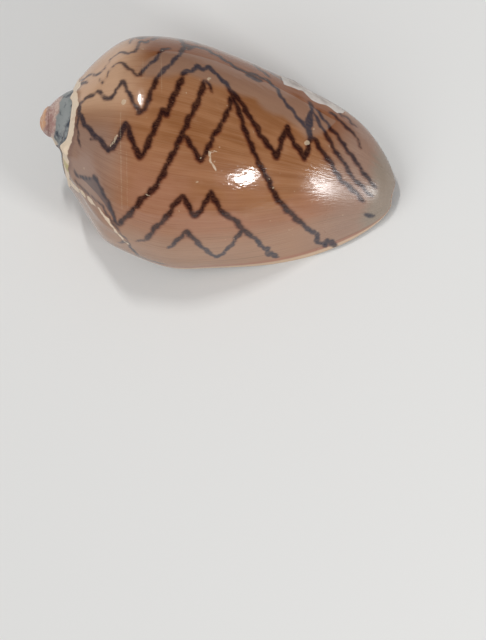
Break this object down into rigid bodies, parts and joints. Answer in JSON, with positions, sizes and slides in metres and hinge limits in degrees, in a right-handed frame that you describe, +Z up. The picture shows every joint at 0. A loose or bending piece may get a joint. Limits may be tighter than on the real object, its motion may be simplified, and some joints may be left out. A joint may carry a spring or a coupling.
{
  "type": "noble volute seashell",
  "caption": "Empty glossy volute seashell with a nipple-like tip, swollen last whorl, long opening and zigzag markings, lying on its opening.",
  "frame": {"origin": "centre of the bounding box in plan, on the plane that the shell rests on", "axes": "+X from the tip towards the front end, +Z up, the lip on the -Y side"},
  "size_m": [0.1252, 0.0778, 0.0625],
  "materials": {
    "shell": "gloss"
  },
  "bodies": {
    "root": {"shell": "shell"}
  },
  "joints": []
}
